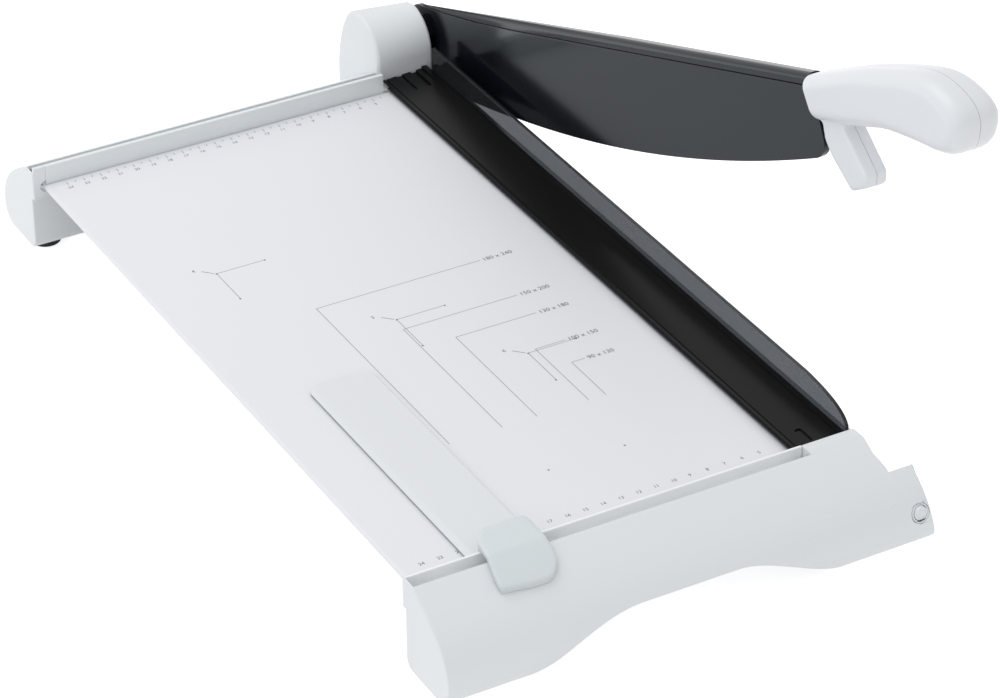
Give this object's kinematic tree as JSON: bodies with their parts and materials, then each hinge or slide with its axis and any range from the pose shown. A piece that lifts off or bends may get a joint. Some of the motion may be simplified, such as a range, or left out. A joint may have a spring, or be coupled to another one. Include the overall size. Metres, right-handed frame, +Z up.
{
  "type": "guillotine paper cutter",
  "caption": "Desk guillotine paper cutter with a curved blade on a hinged arm, a clamp bar with a clear cutting guard, a sliding gauge on the front rail and a latch button",
  "frame": {"origin": "Bottom centre of the bounding box with the arm raised as stored; the desk is at z = 0.", "axes": "+X along the front towards the blade side, +Y from the front stop to the rear, +Z up."},
  "size_m": [0.2788, 0.5548, 0.2679],
  "materials": {
    "casing": "fine satin grain, cool off-white",
    "handle": "soft satin white",
    "table": "smooth light grey powder coat with printed marks",
    "clamp": "satin black",
    "arm": "semi-gloss anthracite coat",
    "aluminium": "satin anodised extrusion",
    "frame_steel": "dark painted steel tube",
    "steel": "ground and plated steel",
    "bracket": "cast, painted dark",
    "bronze": "plain bearing bronze",
    "rubber": "matt black rubber",
    "guard": "clear smoked sheet",
    "gauge": "frosted translucent plastic"
  },
  "bodies": {
    "base": {"front_casing": "casing", "rear_casing": "casing", "pivot_housing": "casing", "table_plate": "table", "front_rail": "aluminium", "rear_rail": "aluminium", "lock_ring": "aluminium", "knife_beam": "frame_steel", "side_rail": "frame_steel", "lower_knife": "steel", "foot_screw_front_left": "steel", "foot_screw_rear_left": "steel", "foot_screw_front_right": "steel", "foot_screw_rear_right": "steel", "casing_screw_front": "steel", "casing_screw_rear": "steel", "lock_spring": "steel", "clamp_spring_front": "steel", "clamp_spring_rear": "steel", "thrust_washer": "steel", "pivot_bracket": "bracket", "pivot_bush": "bronze", "foot_front_left": "rubber", "foot_rear_left": "rubber", "foot_front_right": "rubber", "foot_rear_right": "rubber"},
    "arm": {"arm_beam": "arm", "upper_blade": "arm", "blade_screw_1": "steel", "blade_screw_2": "steel", "blade_screw_3": "steel", "blade_screw_4": "steel", "handle_left": "handle", "handle_right": "handle", "handle_screw_1": "steel", "handle_screw_2": "steel", "pivot_shaft": "steel", "spring_washer": "steel", "pivot_nut": "steel"},
    "clamp": {"clamp_bar": "clamp", "clamp_sole": "aluminium", "cut_guard": "guard", "clamp_post_front": "steel", "clamp_post_rear": "steel"},
    "gauge": {"gauge_bar": "gauge", "gauge_saddle": "gauge", "gauge_tongue": "gauge"},
    "lock": {"lock_button": "handle"}
  },
  "joints": [
    {"name": "arm_hinge", "type": "hinge", "parent": "base", "child": "arm", "pos_m": [0.11861, 0.24642, 0.06], "axis": [-1, 0, 0], "range_deg": [-21.2, 30]},
    {"name": "clamp_press", "type": "slide", "parent": "base", "child": "clamp", "axis": [0, 0, 1], "range_m": [-0.0015, 0.00215], "deforming": ["clamp_spring_front", "clamp_spring_rear"]},
    {"name": "gauge_slide", "type": "slide", "parent": "base", "child": "gauge", "axis": [1, 0, 0], "range_m": [-0.038, 0.145]},
    {"name": "lock_press", "type": "slide", "parent": "base", "child": "lock", "axis": [0, 1, 0], "range_m": [0, 0.005], "stiffness_N_per_m": 150, "springref_m": -0.004, "deforming": ["lock_spring"]}
  ],
  "couplings": [
    {"joint": "clamp_press", "follows": "arm_hinge", "m_per_rad": 0.00405}
  ]
}
